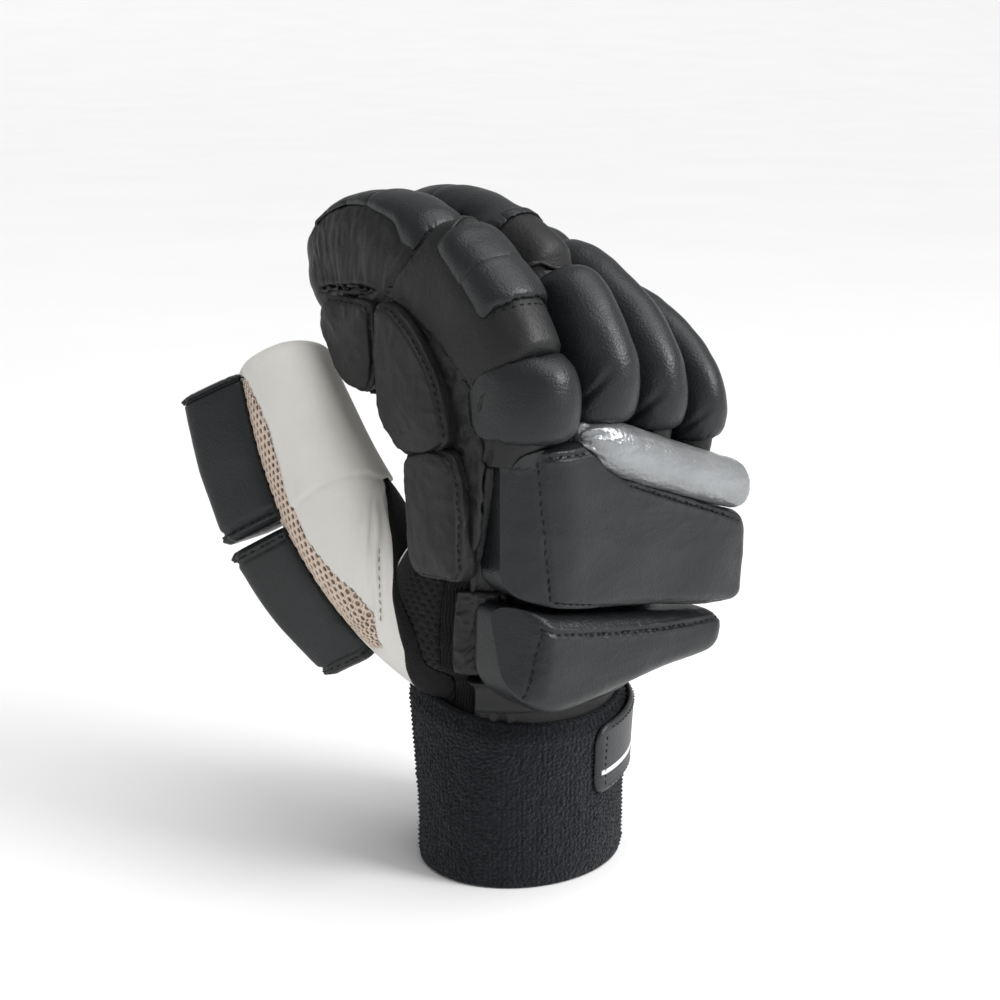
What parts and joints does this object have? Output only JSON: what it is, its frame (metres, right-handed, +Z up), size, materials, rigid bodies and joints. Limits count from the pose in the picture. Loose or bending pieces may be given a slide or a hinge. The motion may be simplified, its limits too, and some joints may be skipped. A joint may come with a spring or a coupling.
{
  "type": "cricket batting glove",
  "caption": "Right-hand padded batting glove standing on its knitted wristband, with curled finger sleeves, padded rolls, flat hand blocks, a silver knuckle bar and a guarded thumb.",
  "frame": {"origin": "middle of the glove's bounds in plan, on the surface that the wristband stands on", "axes": "+X from the thumb side to the little finger, +Y from the back of the hand to the palm, +Z up from the wrist to the fingers"},
  "size_m": [0.1498, 0.1598, 0.2448],
  "materials": {
    "terry_knit": "looped terry knit, matt",
    "strap_label": "moulded soft label on a woven strap",
    "white_leather": "soft undyed leather, satin",
    "black_knit": "knitted elastic, matt",
    "side_leather": "black leather with a brown cast, satin",
    "black_leather": "pebbled black leather over foam, satin",
    "silver_leather": "silver foil-coated leather over foam",
    "thumb_net": "open hexagonal net, off-white"
  },
  "bodies": {
    "root": {"wristband": "terry_knit", "wrist_strap": "strap_label", "palm": "white_leather", "mesh_gusset": "black_knit", "elastic_panel": "black_knit", "hand_back": "side_leather", "side_flap": "side_leather", "wrist_pad": "side_leather", "index_sleeve": "side_leather", "index_roll_1": "black_leather", "index_roll_2": "black_leather", "index_roll_3": "black_leather", "index_roll_4": "black_leather", "index_roll_5": "black_leather", "index_roll_6": "black_leather", "index_roll_7": "black_leather", "middle_sleeve": "side_leather", "middle_roll_1": "black_leather", "middle_roll_2": "black_leather", "middle_roll_3": "black_leather", "middle_roll_4": "black_leather", "middle_roll_5": "black_leather", "middle_roll_6": "black_leather", "ring_sleeve": "side_leather", "ring_roll_1": "black_leather", "ring_roll_2": "black_leather", "ring_roll_3": "black_leather", "ring_roll_4": "black_leather", "little_sleeve": "side_leather", "little_roll_1": "black_leather", "little_roll_2": "black_leather", "little_roll_3": "black_leather", "index_wing_tip": "side_leather", "index_wing_middle": "side_leather", "index_wing_base": "side_leather", "back_block": "black_leather", "wrist_block": "black_leather", "knuckle_bar": "silver_leather", "thumb_sleeve": "white_leather", "thumb_mesh": "thumb_net", "thumb_guard_base": "black_leather", "thumb_guard_tip": "black_leather"}
  },
  "joints": []
}
